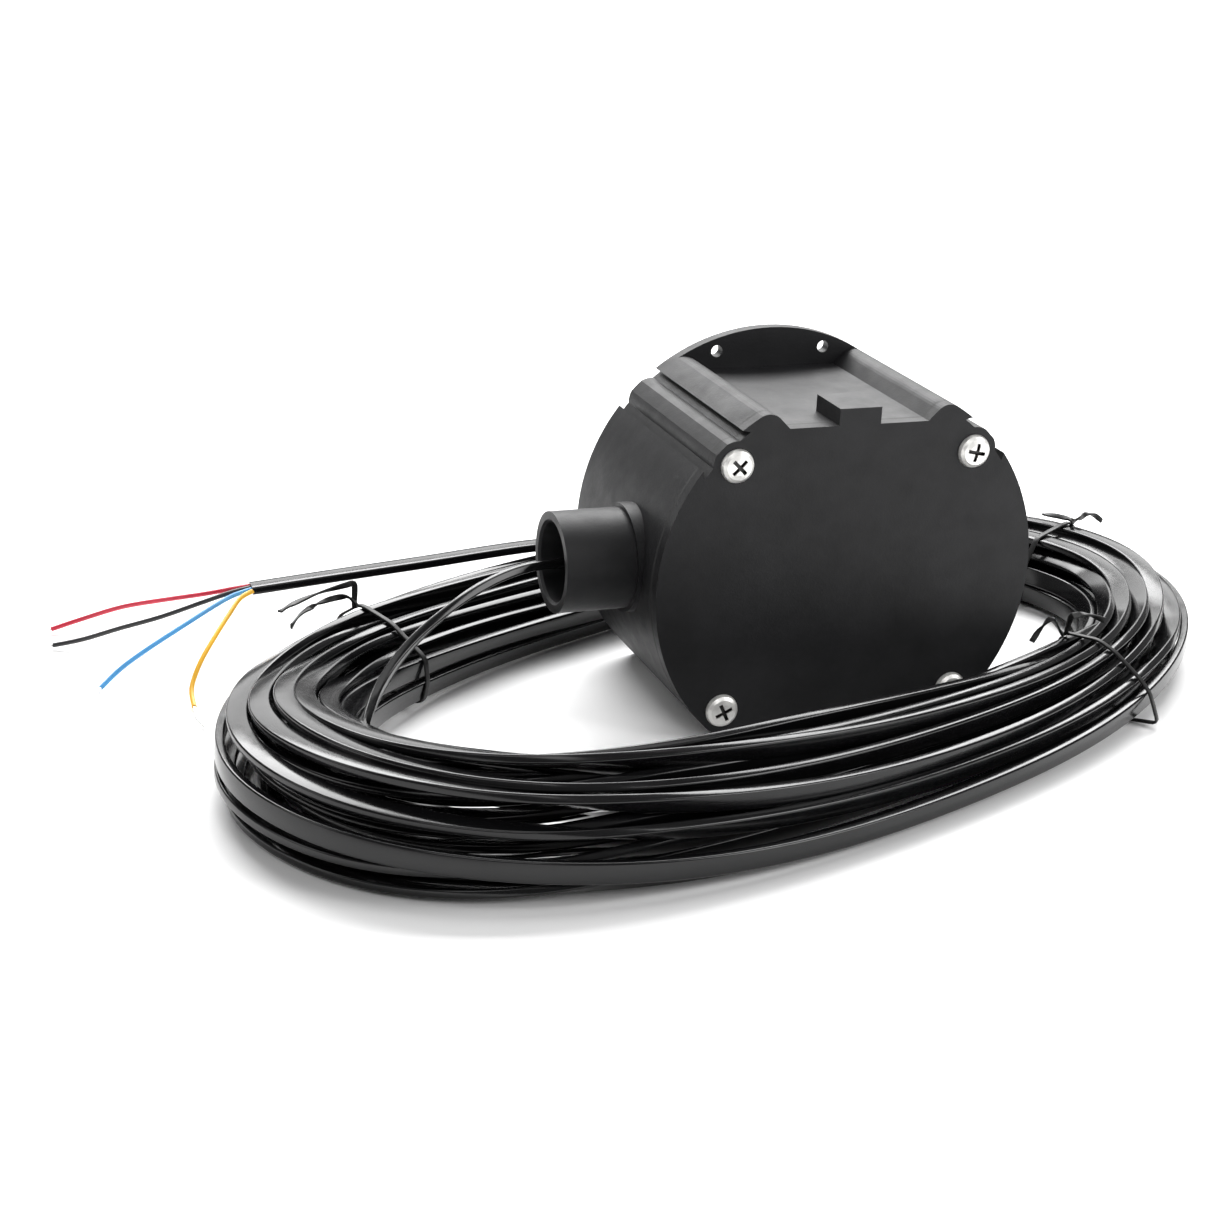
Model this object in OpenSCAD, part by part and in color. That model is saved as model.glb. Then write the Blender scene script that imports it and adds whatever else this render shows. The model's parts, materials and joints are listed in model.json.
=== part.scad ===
// Sensor head of a cup anemometer, lying on the flat side of its drum, with its cable coiled round it.
// X runs right, Y runs from the front cover to the spindle face, Z is up. The origin is the middle of
// the flat bottom, straight under the drum axis, halfway between the front and rear faces.

/* [Drum] */
// Radius of the drum
drum_r = 48; // [46:1:52]
// Depth of the drum from the cover face to the rear face
drum_depth = 56; // [54:1:64]
// Height of the drum axis above the flat bottom
axis_h = 37; // [36:1:39]
// Height of the recess floor above the drum axis
recess_h = 38; // [37:0.5:39]
// Half the width of the recess floor
recess_half = 17.5; // [16:0.5:18]
// Thickness of the drum wall
wall = 3; // [2.5:0.5:3.5]
// Thickness of the front cover
cover_t = 3; // [2.5:0.5:3.5]
// Thickness of the cover gasket
gasket_t = 0.8; // [0.6:0.1:1.2]
// Radius of the two small holes in the rear flange
flange_hole_r = 1.5; // [1.2:0.1:2]

/* [Block on the cover] */
// Width of the block
block_w = 10.5; // [8:0.5:14]
// Height of the block above the recess floor
block_h = 4; // [3:0.5:6]
// Depth of the block from the cover face
block_depth = 13; // [8:0.5:16]

/* [Pipe socket] */
// Outer radius of the pipe socket
socket_r = 12; // [11:0.5:13]
// Inner radius of the pipe socket
socket_bore_r = 9.5; // [8.5:0.5:10]
// Distance of the socket's mouth from the drum axis
socket_reach = 66; // [60:1:74]

/* [Cover screws] */
// Distance of the screws from the drum axis along X and along Z
screw_xz = 30; // [29:0.5:31]
// Radius of the screw heads
head_r = 4; // [3.5:0.25:4.25]
// Height of the screw heads
head_h = 2; // [1.6:0.1:2.6]

/* [Spindle] */
// Radius of the spindle inside the head
spindle_r = 3; // [2.75:0.25:3]
// Radius of the spindle's free end
spindle_end_r = 2.5; // [2:0.25:2.5]
// Length of the spindle's free end behind the drip collar
spindle_free = 14; // [10:1:20]
// Radius of the magnet carrier
carrier_r = 12; // [12:0.25:12.5]

/* [Cable] */
// Width of the flat cable
cable_w = 4.8; // [4.6:0.1:5]
// Thickness of the flat cable
cable_t = 2.1; // [2:0.1:2.3]
// Diameter of the four insulated leads
lead_d = 1.2; // [1.1:0.1:1.4]
// Diameter of the bare ends of the leads
tip_d = 0.7; // [0.6:0.1:0.8]

/* [Hidden] */
$fn = 96;

// Colours of the parts
black_plastic = "#2b2b2e";
dark_rubber = "#151516";
nickel = "#d8d8d4";
steel = "#a8abae";
brass = "#c9a24a";
board_green = "#1f5a34";
part_black = "#1b1b1d";
socket_green = "#3d8a54";
cable_black = "#101012";
CORE_COLOURS = ["#b5202c", "#17171a", "#3f86c9", "#e0a21c"];

// Places along Y
front_y = -drum_depth / 2;
rear_y = drum_depth / 2;
seal_y = front_y + cover_t;
rim_y = seal_y + gasket_t;
wall_y = rear_y - wall;

// Drum outline: rounded shoulders beside the recess, notches beside the upper screws
shoulder_r = 4;
shoulder_steps = 8;
notch_w = 2.4;
notch_depth = 1.5;
lobe_r = 5.8;
flange_hole_x = 14.3;
flange_hole_z = 42.5;

block_x = [-block_w / 2, block_w / 2];

// Screw bosses, thread inserts and the cover's locating rim
boss_r = 5;
insert_r = 2.8;
insert_l = 8;
cover_hole_r = 2.2;
screw_r = 2;
screw_l = 11;
screw_turns = [45, 12, 65, 28];
slot_l = 4.4;
slot_w = 0.9;
slot_depth = 1.3;
lip_depth = 3;
lip_t = 1.5;
lip_gap = 0.3;

// Pipe socket
socket_y = -6;
socket_z = 2;
socket_root = 43;
socket_shoulder = 49;
socket_shoulder_r = socket_r + 1;
mouth_chamfer = 0.6;

// Bearings, from the front of the bearing tube to the rear
tube_r = 10;
tube_y = 2;
ring_out = 6.5;
ring_w = 5;
front_ring_y = 4;
rear_ring_y = wall_y - ring_w;
ball_r = 0.95;
ball_path_r = 4.75;
groove_r = 1;
ring_in_lip = 4.2;
ring_out_lip = 5.3;
balls = 8;
circlip_y = 2.9;
circlip_t = 0.9;
circlip_groove = 0.6;
circlip_in = 5.7;
tail_bore_r = 5;
rear_boss_r = 12;
rear_boss_h = 3;
seal_r = 7;
run_gap = 0.05;

// Spindle and what turns with it
spindle_front_y = -5;
collar_gap = 0.4;
collar_t = 2;
collar_hub = 2;
collar_r = 9;
collar_hub_r = 5;
collar_y = rear_y + rear_boss_h + collar_gap;
spindle_free_y = collar_y + collar_t + collar_hub;
spindle_end_y = spindle_free_y + spindle_free;
clip_y = 2.5;
clip_t = 0.8;
clip_r = 4.9;
clip_groove_r = spindle_r - 0.5;
carrier_y = -7;
carrier_t = 4;
carrier_hub_r = 5.5;
carrier_hub_y = 1.5;
magnet_r = 2.5;
magnet_t = 3;
magnet_path_r = 8.5;
carrier_screw_r = 1.25;
flat_depth = 0.5;
flat_l = 6;

// Circuit board and what is on it
board_x = [-22, 30];
board_z = [-23, 23];
board_t = 1.6;
board_y = -13;
board_front_y = board_y - board_t;
post_r = 3.5;
post_x = [-17, 25];
post_z = 18;
post_hole_r = 1.25;
terminal_x = -20;
terminal_w = 8;
terminal_h = 8;
terminal_pitch = 5;
terminal_top_y = board_front_y - terminal_h;
terminal_hole_y = -19;
terminal_hole_r = 0.9;
terminal_hole_l = 3;
terminal_screw_x = terminal_x + 4.5;
terminal_screw_r = 1.6;

// Cable clamp
clamp_x = -34;
clamp_ends = [clamp_x - 5, clamp_x + 5];
clamp_t = 3;
clamp_post_r = 4;
clamp_seat_y = socket_y + cable_t / 2;
cable_in_z = 1.5;
clamp_hole_z = [cable_in_z - 8, cable_in_z + 8];
core_pitch = 1.1;
core_d = 1;

// The coil: its middle line in plan is an oval, [x, y, half length, half width, turn, power]; its width
// and height are [mean, change with the angle's cosine, with its sine, with twice the angle's cosine]
coil_oval = [-15.5, -10.5, 125, 62.5, 22.5, 2.2];
coil_width = [29, -3, -1, 5];
coil_height = [22, -3.5, -3, 0];
coil_base = 1.3;
coil_power = 4.5;
coil_stations = 72;
coil_sides = 16;

// Wire ties round the coil: where each one is, and where its twisted ends are across the coil's width
tie_angles = [122, 300, 4];
tie_knots = [0.6, -0.8, 0.3];
tie_w = 2.4;
tie_t = 0.8;
tie_gap = 0.3;
knot_l = 7;
knot_r = 1;

// Routes of the cable and its leads
lead_route = [[-66, -6, 38.5], [-72, -6.5, 38.3], [-80, -9, 37.2], [-88, -13, 35.3],
    [-95.5, -17, 32.4], [-102.5, -20.5, 28.6], [-109, -25, 24.2], [-114.5, -31, 19.8], [-119, -39, 16.5]];
lead_rolls = [20, 22, 26, 33, 42, 52, 64, 76, 88];
tail_route = [[-22, 57, 17.5], [-30, 56.5, 19.8], [-39, 55.6, 21.1], [-50, 54.6, 21.5], [-63, 52.8, 21.3],
    [-77, 50.6, 20.9], [-90, 49.2, 20.4], [-102, 48.4, 19.8], [-114, 48, 19], [-126, 48, 18]];
inner_route = [[-27, -6, 38.5], [-42, -6, 38.5], [-50, -6, 38.5], [-58, -6, 38.5], [-66, -6, 38.5]];
inner_rolls = [90, 90, 90, 52, 20];
red_route = [[-126, 49.95, 18], [-131, 50.2, 17.4], [-137, 52, 16], [-146, 58, 13], [-155, 67, 8.6],
    [-164, 73, 4], [-172, 75, 1]];
black_route = [[-126, 48.65, 18], [-131, 48.4, 17.2], [-137, 48.2, 15.6], [-148, 51.5, 11], [-157, 56.5, 7],
    [-166, 61.5, 2.8], [-173, 64, 0.9]];
blue_route = [[-126, 47.35, 18], [-131, 46.4, 17], [-136, 44, 15.6], [-144, 40.5, 12.6], [-153, 38, 8.4],
    [-160, 36.5, 4.4], [-165.5, 33.5, 0.9]];
yellow_route = [[-126, 46.05, 18], [-129.5, 44.2, 17], [-133, 40, 14.8], [-138, 33.5, 11.4],
    [-142.5, 28, 7.4], [-145.5, 23, 3.2], [-146, 17, 0.9]];
LEAD_ROUTES = [red_route, black_route, blue_route, yellow_route];
TIP_ENDS = [[[-178, 74, 0.7], [-183, 73, 0.6]], [[-179, 62.5, 0.7], [-184, 60.5, 0.6]],
    [[-168.5, 25, 0.7], [-171, 15.5, 0.6]], [[-146.5, 10.5, 0.7], [-145.5, 5, 0.6]]];

// ---- Helpers: sections, sweeps and placing ----

function unit(v) = v / norm(v);
function sgn_pow(v, p) = sign(v) * pow(abs(v), p);

// A smooth curve through all of a route's points, or of its rolls
function spline(p0, p1, p2, p3, t) = 0.5 * (2 * p1 + (p2 - p0) * t
    + (2 * p0 - 5 * p1 + 4 * p2 - p3) * t * t + (3 * p1 - p0 - 3 * p2 + p3) * t * t * t);
function on_route(route, u) = let (n = len(route), i = min(floor(u), n - 2))
    spline(route[max(i - 1, 0)], route[i], route[i + 1], route[min(i + 2, n - 1)], u - i);
function finer(route, k) = [for (j = [0 : k * (len(route) - 1)]) on_route(route, j / k)];

// A closed tube along a path; its section is turned by a roll at each point
module tube(path, section, rolls) {
    n = len(path);
    m = len(section);
    rings = [for (i = [0 : n - 1])
        let (t = unit(path[min(i + 1, n - 1)] - path[max(i - 1, 0)]),
            side = unit(cross([0, 0, 1], t)),
            up = cross(t, side),
            r = rolls[min(i, len(rolls) - 1)])
        for (q = section)
            path[i] + side * (q[0] * cos(r) - q[1] * sin(r)) + up * (q[0] * sin(r) + q[1] * cos(r))];
    walls = [for (i = [0 : n - 2], j = [0 : m - 1]) let (k = (j + 1) % m)
        [i * m + j, i * m + k, (i + 1) * m + k, (i + 1) * m + j]];
    near = [for (j = [0 : m - 1]) m - 1 - j];
    far = [for (j = [0 : m - 1]) (n - 1) * m + j];
    polyhedron(rings, [for (w = walls) [w[3], w[2], w[1], w[0]],
        [for (j = near) m - 1 - j], [for (j = [0 : m - 1]) far[m - 1 - j]]], convexity = 6);
}

// A flat cable's section, rounded at its edges, and a round wire's section
function flat_section(w, t) = let (c = t * 0.3)
    [[w / 2, -t / 2 + c], [w / 2, t / 2 - c], [w / 2 - c, t / 2], [-w / 2 + c, t / 2],
    [-w / 2, t / 2 - c], [-w / 2, -t / 2 + c], [-w / 2 + c, -t / 2], [w / 2 - c, -t / 2]];
function round_section(d, sides) = [for (j = [0 : sides - 1]) let (a = 360 * j / sides)
    d / 2 * [cos(a), sin(a)]];

// Extrudes a shape drawn in X and Z about the drum axis from one Y to another
module along_y(y0, y1) translate([0, y1, axis_h]) rotate([90, 0, 0]) linear_extrude(y1 - y0) children();
module disc(r, y0, y1, x = 0, z = 0) along_y(y0, y1) translate([x, z]) circle(r);
module box_y(x, y, z) translate([x[0], y[0], axis_h + z[0]]) cube([x[1] - x[0], y[1] - y[0], z[1] - z[0]]);
module at_screws() for (sx = [-1, 1], sz = [-1, 1]) translate([sx * screw_xz, sz * screw_xz]) children();
module turned(profile) translate([0, 0, axis_h]) rotate([-90, 0, 0]) rotate_extrude() polygon(profile);

// ---- Drum outlines ----

module flat_bottom(grow = 0)
    translate([-drum_r - 1, -2 * drum_r]) square([2 * drum_r + 2, 2 * drum_r - axis_h + grow]);

// The recess, as what is cut away; its sides rise at 45 degrees
module recess_cut(grow = 0) {
    w = recess_half + grow * tan(22.5);
    f = recess_h - grow;
    polygon([[-w, f], [w, f], [w + drum_r, f + drum_r], [-w - drum_r, f + drum_r]]);
}

// The recess with rounded shoulders: each arc runs from the slope to the drum circle, which it just crosses
module rounded_recess() {
    drop = shoulder_r * sqrt(2) - (recess_h - recess_half);
    reach = drum_r - shoulder_r;
    cx = (drop + sqrt(2 * reach * reach - drop * drop)) / 2;
    cz = cx - drop;
    rim_a = atan2(cz, cx);
    arc = [for (i = [0 : shoulder_steps - 1]) let (a = 135 + (rim_a - 135) * i / shoulder_steps)
        [cx + shoulder_r * cos(a), cz + shoulder_r * sin(a)]];
    side = concat([[recess_half, recess_h]], arc, [drum_r * 1.002 * [cos(rim_a), sin(rim_a)]],
        [drum_r * 1.3 * [cos(rim_a), sin(rim_a)]]);
    other = [for (i = [len(side) - 1 : -1 : 0]) [-side[i][0], side[i][1]]];
    polygon(concat(side, other));
}

module notches() for (s = [-1, 1]) difference() {
    translate([s * screw_xz, screw_xz]) circle(lobe_r + notch_w);
    translate([s * screw_xz, screw_xz]) circle(lobe_r);
    circle(drum_r - notch_depth);
}

module flange_outline() difference() {
    circle(drum_r);
    flat_bottom();
    notches();
}

module drum_outline() difference() {
    flange_outline();
    rounded_recess();
}

module cavity_outline(inset) difference() {
    circle(drum_r - wall - inset);
    flat_bottom(wall + inset);
    recess_cut(wall + inset);
}

// ---- Housing, cover and fasteners ----

// A rod on the pipe socket's axis, from one distance to another on the drum's left
module socket_rod(r, from, to) translate([-from, socket_y, axis_h + socket_z]) rotate([0, 90, 0])
    cylinder(r = r, h = from - to);

module housing() color(black_plastic) difference() {
    union() {
        difference() {
            union() {
                along_y(rim_y, rear_y) drum_outline();
                along_y(wall_y, rear_y) flange_outline();
                socket_rod(socket_r, socket_reach, socket_root);
                socket_rod(socket_shoulder_r, socket_shoulder, socket_root);
            }
            along_y(rim_y - 1, wall_y) cavity_outline(0);
        }
        along_y(rim_y, wall_y) intersection() {
            at_screws() circle(boss_r);
            drum_outline();
        }
        disc(tube_r, tube_y, wall_y);
        disc(rear_boss_r, wall_y, rear_y + rear_boss_h);
        for (x = post_x, s = [-1, 1]) disc(post_r, board_y, wall_y, x, s * post_z);
        for (z = clamp_hole_z) disc(clamp_post_r, clamp_seat_y, wall_y, clamp_x, z);
        box_y(clamp_ends, [clamp_seat_y, clamp_seat_y + clamp_t], clamp_hole_z);
    }
    socket_rod(socket_bore_r, socket_reach + 1, socket_root - 1);
    translate([-socket_reach - 0.01, socket_y, axis_h + socket_z]) rotate([0, 90, 0])
        cylinder(r1 = socket_bore_r + mouth_chamfer, r2 = socket_bore_r, h = mouth_chamfer);
    along_y(rim_y - 1, rim_y + insert_l) at_screws() circle(insert_r);
    along_y(rim_y, rim_y + insert_l + 5) at_screws() circle(cover_hole_r);
    for (x = post_x, s = [-1, 1]) disc(post_hole_r, board_y - 1, board_y + 8, x, s * post_z);
    for (z = clamp_hole_z) disc(post_hole_r, clamp_seat_y - 1, clamp_seat_y + 8, clamp_x, z);
    disc(ring_out, tube_y - 1, wall_y);
    disc(ring_out + circlip_groove, circlip_y, circlip_y + circlip_t);
    disc(tail_bore_r, wall_y - 1, rear_y + 1);
    disc(seal_r, rear_y, rear_y + rear_boss_h + 1);
    for (s = [-1, 1]) disc(flange_hole_r, wall_y - 1, rear_y + 1, s * flange_hole_x, flange_hole_z);
}

module front_cover() color(black_plastic) difference() {
    union() {
        along_y(front_y, seal_y) drum_outline();
        box_y(block_x, [front_y, front_y + block_depth], [recess_h, recess_h + block_h]);
        box_y(block_x, [front_y, seal_y], [recess_h - 1, recess_h + 1]);
        along_y(seal_y, seal_y + lip_depth) difference() {
            cavity_outline(lip_gap);
            cavity_outline(lip_gap + lip_t);
            at_screws() circle(boss_r + lip_gap);
        }
    }
    along_y(front_y - 1, seal_y + 1) at_screws() circle(cover_hole_r);
}

module cover_gasket() color(dark_rubber) along_y(seal_y, rim_y) difference() {
    intersection() {
        drum_outline();
        union() {
            difference() {
                circle(drum_r);
                cavity_outline(0);
            }
            at_screws() circle(boss_r);
        }
    }
    at_screws() circle(cover_hole_r);
}

// A low pan head with a cross recess; its axis is along Y and the shank runs to +Y
module pan_screw(r, h, shank_r, shank_l, turn, slot = slot_l) rotate([-90, 0, 0]) difference() {
    rotate_extrude() polygon([[0, -h], [r * 0.45, -h * 0.95], [r * 0.75, -h * 0.78], [r * 0.93, -h * 0.48],
        [r, -h * 0.12], [r, 0], [shank_r, 0], [shank_r, shank_l - 0.5], [shank_r - 0.5, shank_l],
        [0, shank_l]]);
    for (a = [0, 90]) rotate([0, 0, turn + a])
        translate([-slot / 2, -slot_w / 2, -h - 1]) cube([slot, slot_w, 1 + slot_depth]);
}

module cover_screws() color(nickel)
    for (i = [0 : 3]) {
        sx = i % 2 == 0 ? -1 : 1;
        sz = i < 2 ? 1 : -1;
        translate([sx * screw_xz, front_y, axis_h + sz * screw_xz])
            pan_screw(head_r, head_h, screw_r, screw_l, screw_turns[i]);
    }

module thread_inserts() color(brass) along_y(rim_y, rim_y + insert_l) at_screws() difference() {
    circle(insert_r);
    circle(screw_r + run_gap);
}

// ---- Bearings and seal ----

// One ring of a ball bearing, from its inner to its outer radius, with the ball groove cut in
module bearing_ring(r0, r1, y) color(steel) translate([0, y, axis_h]) rotate([-90, 0, 0]) rotate_extrude()
    difference() {
        translate([r0, 0]) square([r1 - r0, ring_w]);
        translate([ball_path_r, ring_w / 2]) circle(groove_r);
    }

module outer_ring_front() bearing_ring(ring_out_lip, ring_out, front_ring_y);
module outer_ring_rear() bearing_ring(ring_out_lip, ring_out, rear_ring_y);
module inner_ring_front() bearing_ring(spindle_r, ring_in_lip, front_ring_y);
module inner_ring_rear() bearing_ring(spindle_r, ring_in_lip, rear_ring_y);

module ball_row(y) color(nickel) for (i = [0 : balls - 1])
    translate([0, y + ring_w / 2, axis_h]) rotate([0, 360 * i / balls, 0])
        translate([ball_path_r, 0, 0]) sphere(ball_r, $fn = 32);
module bearing_balls_front() ball_row(front_ring_y);
module bearing_balls_rear() ball_row(rear_ring_y);

module bore_circlip() color(steel) along_y(circlip_y, circlip_y + circlip_t) difference() {
    circle(ring_out + circlip_groove);
    circle(circlip_in);
    translate([-1.5, 0]) square([3, ring_out + 2]);
}

module shaft_seal() color(dark_rubber) turned([[spindle_r + run_gap, rear_y + 0.8],
    [spindle_r + run_gap, rear_y + 1.6], [spindle_r + 1.2, rear_y + rear_boss_h],
    [seal_r, rear_y + rear_boss_h], [seal_r, rear_y], [spindle_r + 1.2, rear_y]]);

// ---- Circuit board ----

module circuit_board() color(board_green) along_y(board_front_y, board_y) difference() {
    translate([board_x[0], board_z[0]]) square([board_x[1] - board_x[0], board_z[1] - board_z[0]]);
    for (x = post_x, s = [-1, 1]) translate([x, s * post_z]) circle(1.6);
}

module hall_sensors() color(part_black) for (s = [-1, 1])
    box_y([s * magnet_path_r - 2, s * magnet_path_r + 2], [board_y, board_y + 1.5], [-1.5, 1.5]);

module microchip() color(part_black) box_y([6, 14], [board_front_y - 1.6, board_front_y], [-4, 4]);

module board_capacitors() color(steel) {
    for (z = [-12, 12]) disc(2.5, board_front_y - 6, board_front_y, 20, z);
    for (x = [-4, 0]) box_y([x, x + 2], [board_front_y - 1, board_front_y], [8, 11]);
}

module board_screws() color(nickel) for (x = post_x, s = [-1, 1])
    translate([x, board_front_y, axis_h + s * post_z]) pan_screw(2.7, 1.8, post_hole_r, 7, 20, 3);

module terminal_block() color(socket_green) difference() {
    box_y([terminal_x, terminal_x + terminal_w], [terminal_top_y, board_front_y],
        [-2 * terminal_pitch, 2 * terminal_pitch]);
    for (i = [0 : 3]) {
        z = (i - 1.5) * terminal_pitch;
        translate([terminal_x - 1, terminal_hole_y, axis_h + z]) rotate([0, 90, 0])
            cylinder(r = terminal_hole_r, h = terminal_hole_l + 1);
        disc(terminal_screw_r + 0.1, terminal_top_y - 1, terminal_top_y + 1.2, terminal_screw_x, z);
    }
}

module terminal_screws() color(nickel) for (i = [0 : 3]) {
    z = (i - 1.5) * terminal_pitch;
    difference() {
        disc(terminal_screw_r, terminal_top_y + 0.2, terminal_top_y + 1.2, terminal_screw_x, z);
        box_y([terminal_screw_x - 3, terminal_screw_x + 3], [terminal_top_y - 1, terminal_top_y + 0.7],
            [z - 0.25, z + 0.25]);
    }
}

// ---- Cable clamp and the cable's inner end ----

module cable_clamp() color(part_black) difference() {
    box_y(clamp_ends, [clamp_seat_y - cable_t - clamp_t, clamp_seat_y - cable_t],
        [clamp_hole_z[0] - clamp_post_r, clamp_hole_z[1] + clamp_post_r]);
    for (z = clamp_hole_z) disc(post_hole_r + 0.3, front_y, clamp_seat_y, clamp_x, z);
}

module clamp_screws() color(nickel) for (z = clamp_hole_z)
    translate([clamp_x, clamp_seat_y - cable_t - clamp_t, axis_h + z])
        pan_screw(2.7, 1.8, post_hole_r, 12, 35, 3);

module cable_inner() color(cable_black)
    tube(finer(inner_route, 3), flat_section(cable_w, cable_t), finer(inner_rolls, 3));

// One core from the cable's inner end to its terminal
module inner_wire(i) color(CORE_COLOURS[i]) {
    z0 = axis_h + cable_in_z + (i - 1.5) * core_pitch;
    z1 = axis_h + (i - 1.5) * terminal_pitch;
    // Each row is a place: [distance past the cable's end, distance towards the cover, share of the spread]
    steps = [[0, 0, 0], [1.4, 1, 0.1], [2.4, 4, 0.4], [2.6, 8, 0.8], [3.4, 11.4, 1], [5, 13, 1],
        [8.5, 13, 1]];
    route = [for (p = steps) [inner_route[0][0] + p[0], inner_route[0][1] - p[1], z0 + (z1 - z0) * p[2]]];
    tube(finer(route, 2), round_section(core_d, 8), [0]);
}
module wire_red() inner_wire(0);
module wire_black() inner_wire(1);
module wire_blue() inner_wire(2);
module wire_yellow() inner_wire(3);

// ---- What turns ----

module spindle() color(steel) difference() {
    union() {
        disc(spindle_r, spindle_front_y, spindle_free_y);
        disc(spindle_end_r, spindle_free_y - 1, spindle_end_y);
    }
    difference() {
        disc(spindle_r + 1, clip_y, clip_y + clip_t);
        disc(clip_groove_r, clip_y - 1, clip_y + clip_t + 1);
    }
    disc(carrier_screw_r, spindle_front_y - 1, spindle_front_y + 5);
    box_y([-spindle_r, spindle_r], [spindle_end_y - flat_l, spindle_end_y + 1],
        [spindle_end_r - flat_depth, spindle_r + 1]);
}

module spacer_sleeve() color(steel) along_y(front_ring_y + ring_w, rear_ring_y) difference() {
    circle(ring_in_lip);
    circle(spindle_r);
}

module spindle_clip() color(steel) along_y(clip_y, clip_y + clip_t) difference() {
    circle(clip_r);
    circle(clip_groove_r);
    translate([-1.8, 0]) square([3.6, clip_r + 1]);
}

module magnet_carrier() color(part_black) difference() {
    union() {
        disc(carrier_r, carrier_y, carrier_y + carrier_t);
        disc(carrier_hub_r, carrier_y + carrier_t - 0.5, carrier_hub_y);
    }
    disc(spindle_r, spindle_front_y, carrier_hub_y + 1);
    disc(carrier_screw_r, carrier_y - 1, spindle_front_y + 1);
    for (s = [-1, 1]) disc(magnet_r, carrier_y - 1, carrier_y + magnet_t, s * magnet_path_r, 0);
}

module carrier_screw() color(nickel)
    translate([0, carrier_y, axis_h]) pan_screw(2.4, 1.5, carrier_screw_r, 6, 15, 2.6);

module magnets() color(nickel) for (s = [-1, 1])
    disc(magnet_r, carrier_y, carrier_y + magnet_t, s * magnet_path_r, 0);

module drip_collar() color(part_black) difference() {
    union() {
        turned([[0, collar_y], [collar_r, collar_y], [collar_r, collar_y + 0.8],
            [collar_hub_r, collar_y + collar_t], [0, collar_y + collar_t]]);
        disc(collar_hub_r, collar_y + collar_t - 0.5, spindle_free_y);
    }
    disc(spindle_r, collar_y - 1, spindle_free_y + 1);
}

// ---- Cable outside the housing ----

// A point on an oval's edge at an angle
function oval(o, a) = let (e = 2 / o[5], x = o[2] * sgn_pow(cos(a), e), y = o[3] * sgn_pow(sin(a), e))
    [o[0] + x * cos(o[4]) - y * sin(o[4]), o[1] + x * sin(o[4]) + y * cos(o[4])];

// The coil at an angle: its width and height, its outward direction, and its section as points
// [across from the middle line, height], grown by a gap
function swing(v, a) = v[0] + v[1] * cos(a) + v[2] * sin(a) + v[3] * cos(2 * a);
function across(a) = let (d = oval(coil_oval, a + 1) - oval(coil_oval, a - 1)) unit([d[1], -d[0]]);
function coil_section(a, sides, grow = 0) =
    let (w = swing(coil_width, a) / 2, h = swing(coil_height, a) / 2, e = 2 / coil_power)
    [for (j = [0 : sides - 1]) let (b = 360 * j / sides)
        [(w + grow) * sgn_pow(cos(b), e), coil_base + h + (h + grow) * sgn_pow(sin(b), e)]];

module cable_coil() color(cable_black) {
    n = coil_stations;
    m = coil_sides;
    points = [for (i = [0 : n - 1]) let (a = 360 * i / n, p = oval(coil_oval, a), d = across(a))
        for (q = coil_section(a, m)) [p[0] + d[0] * q[0], p[1] + d[1] * q[0], q[1]]];
    polyhedron(points, [for (i = [0 : n - 1], j = [0 : m - 1]) let (k = (i + 1) % n, l = (j + 1) % m)
        [i * m + j, i * m + l, k * m + l, k * m + j]], convexity = 8);
}

module cable_lead() color(cable_black)
    tube(finer(lead_route, 2), flat_section(cable_w, cable_t), finer(lead_rolls, 2));
module cable_tail() color(cable_black) tube(tail_route, flat_section(cable_w, cable_t), [0]);

module lead(i) color(CORE_COLOURS[i]) tube(LEAD_ROUTES[i], round_section(lead_d, 8), [0]);
module lead_red() lead(0);
module lead_black() lead(1);
module lead_blue() lead(2);
module lead_yellow() lead(3);

module tip(i) color(nickel) {
    last = LEAD_ROUTES[i][len(LEAD_ROUTES[i]) - 1];
    tube([last, TIP_ENDS[i][0], TIP_ENDS[i][1]], round_section(tip_d, 8), [0]);
}
module tip_red() tip(0);
module tip_black() tip(1);
module tip_blue() tip(2);
module tip_yellow() tip(3);

// A wire tie: a flat loop round the coil's section and its twisted ends on top
module tie(i) color(dark_rubber) {
    a = tie_angles[i];
    p = oval(coil_oval, a);
    d = across(a);
    h = swing(coil_height, a) / 2;
    arch = pow(1 - pow(abs(tie_knots[i]), coil_power), 1 / coil_power);
    translate([p[0], p[1], 0]) rotate([90, 0, atan2(d[1], d[0])]) {
        translate([0, 0, -tie_w / 2]) linear_extrude(tie_w) difference() {
            polygon(coil_section(a, 40, tie_gap + tie_t));
            polygon(coil_section(a, 40, tie_gap));
        }
        translate([tie_knots[i] * swing(coil_width, a) / 2, coil_base + h + h * arch + tie_gap, 0])
            rotate([-90, 0, 0]) cylinder(r = knot_r, h = knot_l);
    }
}
module tie_left() tie(0);
module tie_right() tie(1);
module tie_rear() tie(2);

housing();
front_cover();
cover_gasket();
cover_screws();
thread_inserts();
outer_ring_front();
outer_ring_rear();
bore_circlip();
shaft_seal();
circuit_board();
hall_sensors();
microchip();
board_capacitors();
board_screws();
terminal_block();
terminal_screws();
cable_clamp();
clamp_screws();
cable_inner();
wire_red();
wire_black();
wire_blue();
wire_yellow();
spindle();
inner_ring_front();
inner_ring_rear();
bearing_balls_front();
bearing_balls_rear();
spacer_sleeve();
spindle_clip();
magnet_carrier();
carrier_screw();
magnets();
drip_collar();
cable_lead();
cable_coil();
cable_tail();
lead_red();
lead_black();
lead_blue();
lead_yellow();
tip_red();
tip_black();
tip_blue();
tip_yellow();
tie_left();
tie_right();
tie_rear();
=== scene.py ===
"""The looks of a cup anemometer's sensor head: its drum, pipe socket, cover screws and coiled flat cable."""

import json
import math

import bmesh
import bpy
import numpy as np
from mathutils import Matrix, Vector


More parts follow.
